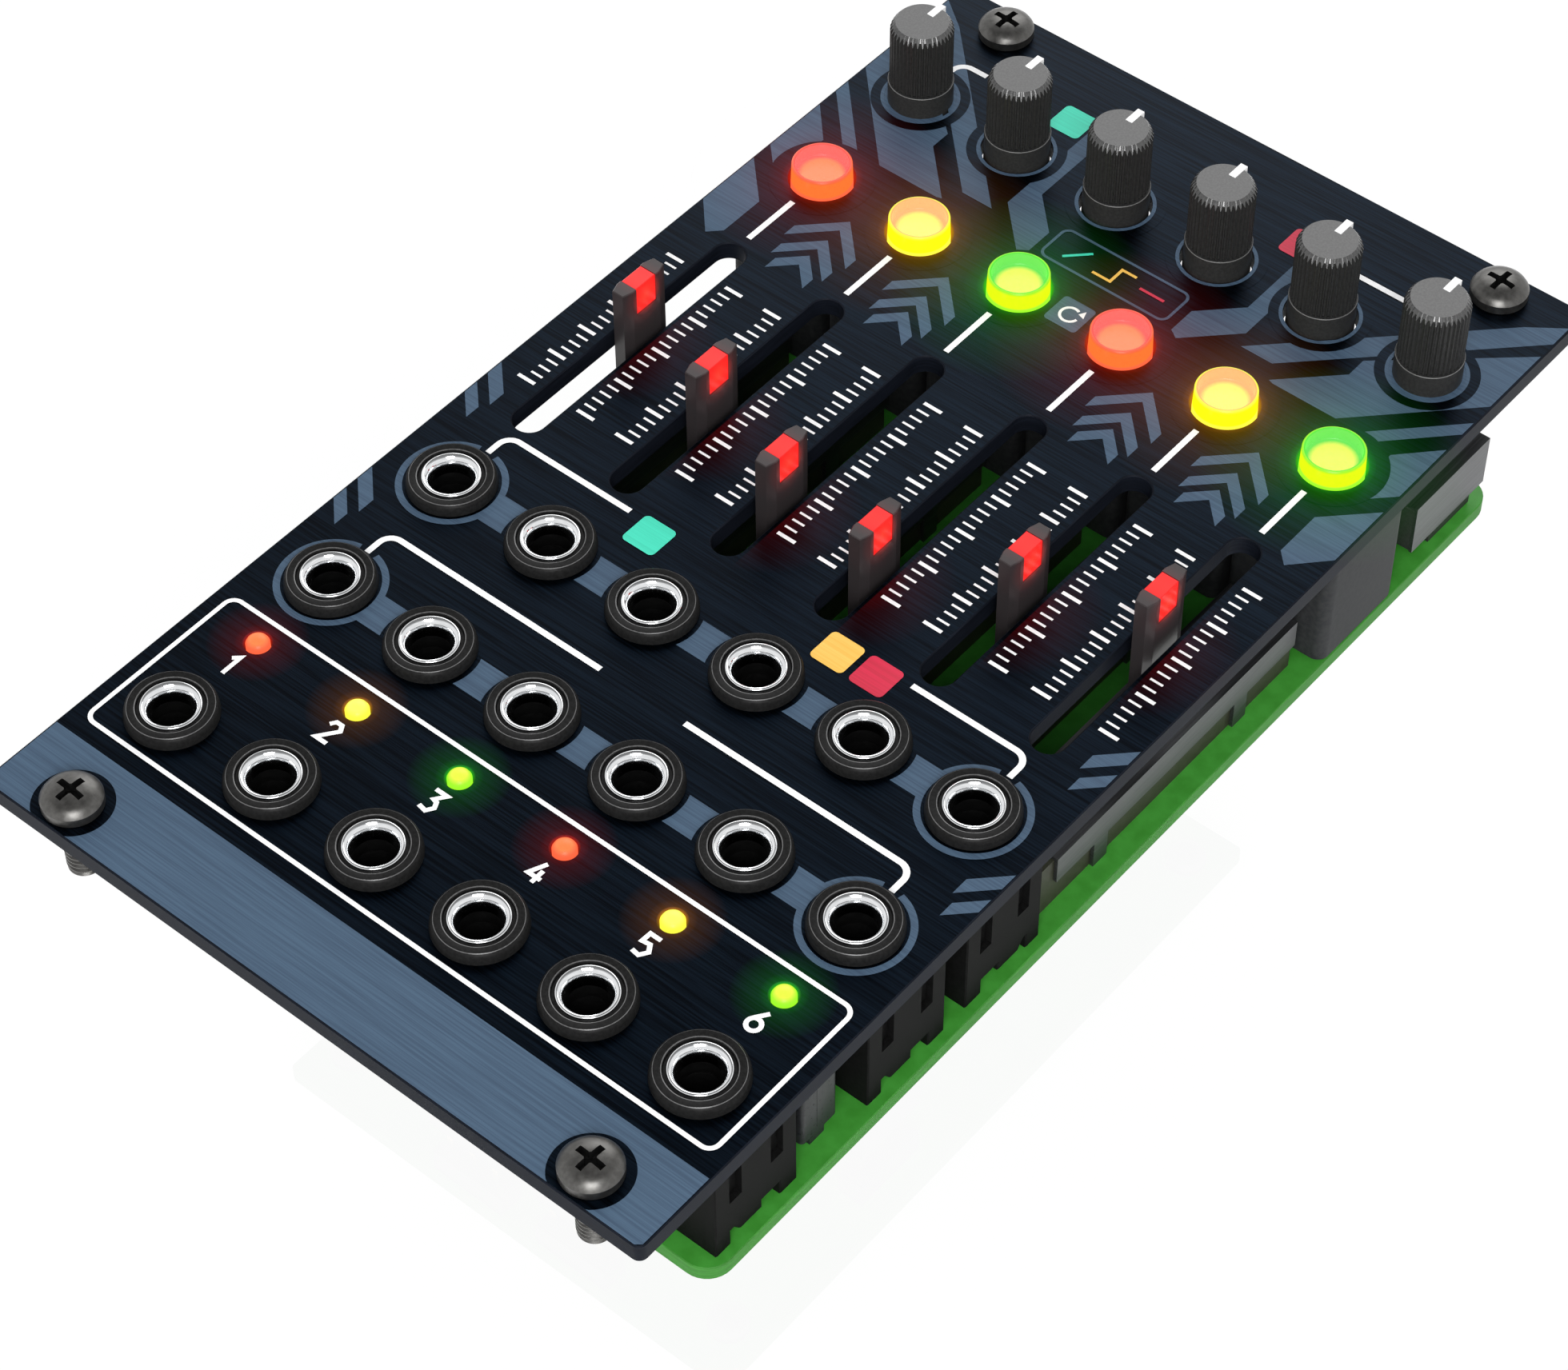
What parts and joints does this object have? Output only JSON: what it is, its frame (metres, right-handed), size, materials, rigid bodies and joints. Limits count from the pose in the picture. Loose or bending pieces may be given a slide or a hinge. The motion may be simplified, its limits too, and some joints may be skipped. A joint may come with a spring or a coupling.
{
  "type": "eurorack module",
  "caption": "Sequencer panel module with a row of knobs, lit buttons, slide controls and rows of jacks, over a main board and a rear board with a power inlet.",
  "frame": {"origin": "centre of the four rack screws, on the panel's rear face", "axes": "+X to the player's right, +Y up the panel towards the knobs, +Z out of the front"},
  "size_m": [0.0708, 0.1284, 0.053],
  "materials": {
    "anodised_panel": "satin",
    "black_nut": "satin",
    "moulded_housing": "matte",
    "dark_screw_steel": "satin",
    "green_board": "satin",
    "grey_housing": "matte",
    "cover_steel": "satin",
    "smoky_plastic": "gloss",
    "knob_plastic": "satin",
    "pointer_white": "matte",
    "red_light": "gloss",
    "yellow_light": "gloss",
    "green_light": "gloss",
    "header_plastic": "matte",
    "pin_metal": "polished",
    "chip_epoxy": "matte",
    "capacitor_can": "satin"
  },
  "bodies": {
    "module": {"circuit_chips": "chip_epoxy", "filter_capacitors": "capacitor_can", "front_panel": "anodised_panel", "green_step_leds": "green_light", "jack_nuts": "black_nut", "led_spacers": "smoky_plastic", "link_pins": "pin_metal", "link_sockets": "header_plastic", "link_strips": "header_plastic", "lower_jacks": "moulded_housing", "main_board": "green_board", "middle_jacks": "moulded_housing", "pot_bases": "knob_plastic", "pot_covers": "cover_steel", "power_pins": "pin_metal", "power_shroud": "header_plastic", "rack_screws": "dark_screw_steel", "rear_board": "green_board", "rear_board_screws": "dark_screw_steel", "red_step_leds": "red_light", "slide_pot_bases": "moulded_housing", "slide_pot_covers": "cover_steel", "switch_housings": "grey_housing", "upper_jacks": "moulded_housing", "voltage_regulators": "chip_epoxy", "yellow_step_leds": "yellow_light"},
    "knob_shaft_1": {"knob_1": "knob_plastic", "knob_pointer_1": "pointer_white"},
    "button_1": {"button_cap_1": "red_light"},
    "slider_1": {"slider_lever_1": "smoky_plastic", "slider_lens_1": "red_light"},
    "knob_shaft_2": {"knob_2": "knob_plastic", "knob_pointer_2": "pointer_white"},
    "button_2": {"button_cap_2": "yellow_light"},
    "slider_2": {"slider_lever_2": "smoky_plastic", "slider_lens_2": "red_light"},
    "knob_shaft_3": {"knob_3": "knob_plastic", "knob_pointer_3": "pointer_white"},
    "button_3": {"button_cap_3": "green_light"},
    "slider_3": {"slider_lever_3": "smoky_plastic", "slider_lens_3": "red_light"},
    "knob_shaft_4": {"knob_4": "knob_plastic", "knob_pointer_4": "pointer_white"},
    "button_4": {"button_cap_4": "red_light"},
    "slider_4": {"slider_lever_4": "smoky_plastic", "slider_lens_4": "red_light"},
    "knob_shaft_5": {"knob_5": "knob_plastic", "knob_pointer_5": "pointer_white"},
    "button_5": {"button_cap_5": "yellow_light"},
    "slider_5": {"slider_lever_5": "smoky_plastic", "slider_lens_5": "red_light"},
    "knob_shaft_6": {"knob_6": "knob_plastic", "knob_pointer_6": "pointer_white"},
    "button_6": {"button_cap_6": "green_light"},
    "slider_6": {"slider_lever_6": "smoky_plastic", "slider_lens_6": "red_light"}
  },
  "joints": [
    {"name": "knob_turn_1", "type": "hinge", "parent": "module", "child": "knob_shaft_1", "pos_m": [-0.02857, 0.049, 0.006], "axis": [0, 0, -1], "range_deg": [-150, 150]},
    {"name": "button_press_1", "type": "slide", "parent": "module", "child": "button_1", "axis": [0, 0, -1], "range_m": [0, 0.001], "stiffness_N_per_m": 1000, "springref_m": -0.0005},
    {"name": "slider_move_1", "type": "slide", "parent": "module", "child": "slider_1", "axis": [0, 1, 0], "range_m": [-0.01125, 0.00875]},
    {"name": "knob_turn_2", "type": "hinge", "parent": "module", "child": "knob_shaft_2", "pos_m": [-0.01715, 0.049, 0.006], "axis": [0, 0, -1], "range_deg": [-150, 150]},
    {"name": "button_press_2", "type": "slide", "parent": "module", "child": "button_2", "axis": [0, 0, -1], "range_m": [0, 0.001], "stiffness_N_per_m": 1000, "springref_m": -0.0005},
    {"name": "slider_move_2", "type": "slide", "parent": "module", "child": "slider_2", "axis": [0, 1, 0], "range_m": [-0.00773, 0.01227]},
    {"name": "knob_turn_3", "type": "hinge", "parent": "module", "child": "knob_shaft_3", "pos_m": [-0.00571, 0.049, 0.006], "axis": [0, 0, -1], "range_deg": [-150, 150]},
    {"name": "button_press_3", "type": "slide", "parent": "module", "child": "button_3", "axis": [0, 0, -1], "range_m": [0, 0.001], "stiffness_N_per_m": 1000, "springref_m": -0.0005},
    {"name": "slider_move_3", "type": "slide", "parent": "module", "child": "slider_3", "axis": [0, 1, 0], "range_m": [-0.00353, 0.01647]},
    {"name": "knob_turn_4", "type": "hinge", "parent": "module", "child": "knob_shaft_4", "pos_m": [0.00571, 0.049, 0.006], "axis": [0, 0, -1], "range_deg": [-150, 150]},
    {"name": "button_press_4", "type": "slide", "parent": "module", "child": "button_4", "axis": [0, 0, -1], "range_m": [0, 0.001], "stiffness_N_per_m": 1000, "springref_m": -0.0005},
    {"name": "slider_move_4", "type": "slide", "parent": "module", "child": "slider_4", "axis": [0, 1, 0], "range_m": [-0.00207, 0.01793]},
    {"name": "knob_turn_5", "type": "hinge", "parent": "module", "child": "knob_shaft_5", "pos_m": [0.01715, 0.049, 0.006], "axis": [0, 0, -1], "range_deg": [-150, 150]},
    {"name": "button_press_5", "type": "slide", "parent": "module", "child": "button_5", "axis": [0, 0, -1], "range_m": [0, 0.001], "stiffness_N_per_m": 1000, "springref_m": -0.0005},
    {"name": "slider_move_5", "type": "slide", "parent": "module", "child": "slider_5", "axis": [0, 1, 0], "range_m": [-0.00773, 0.01227]},
    {"name": "knob_turn_6", "type": "hinge", "parent": "module", "child": "knob_shaft_6", "pos_m": [0.02857, 0.049, 0.006], "axis": [0, 0, -1], "range_deg": [-150, 150]},
    {"name": "button_press_6", "type": "slide", "parent": "module", "child": "button_6", "axis": [0, 0, -1], "range_m": [0, 0.001], "stiffness_N_per_m": 1000, "springref_m": -0.0005},
    {"name": "slider_move_6", "type": "slide", "parent": "module", "child": "slider_6", "axis": [0, 1, 0], "range_m": [-0.01125, 0.00875]}
  ]
}
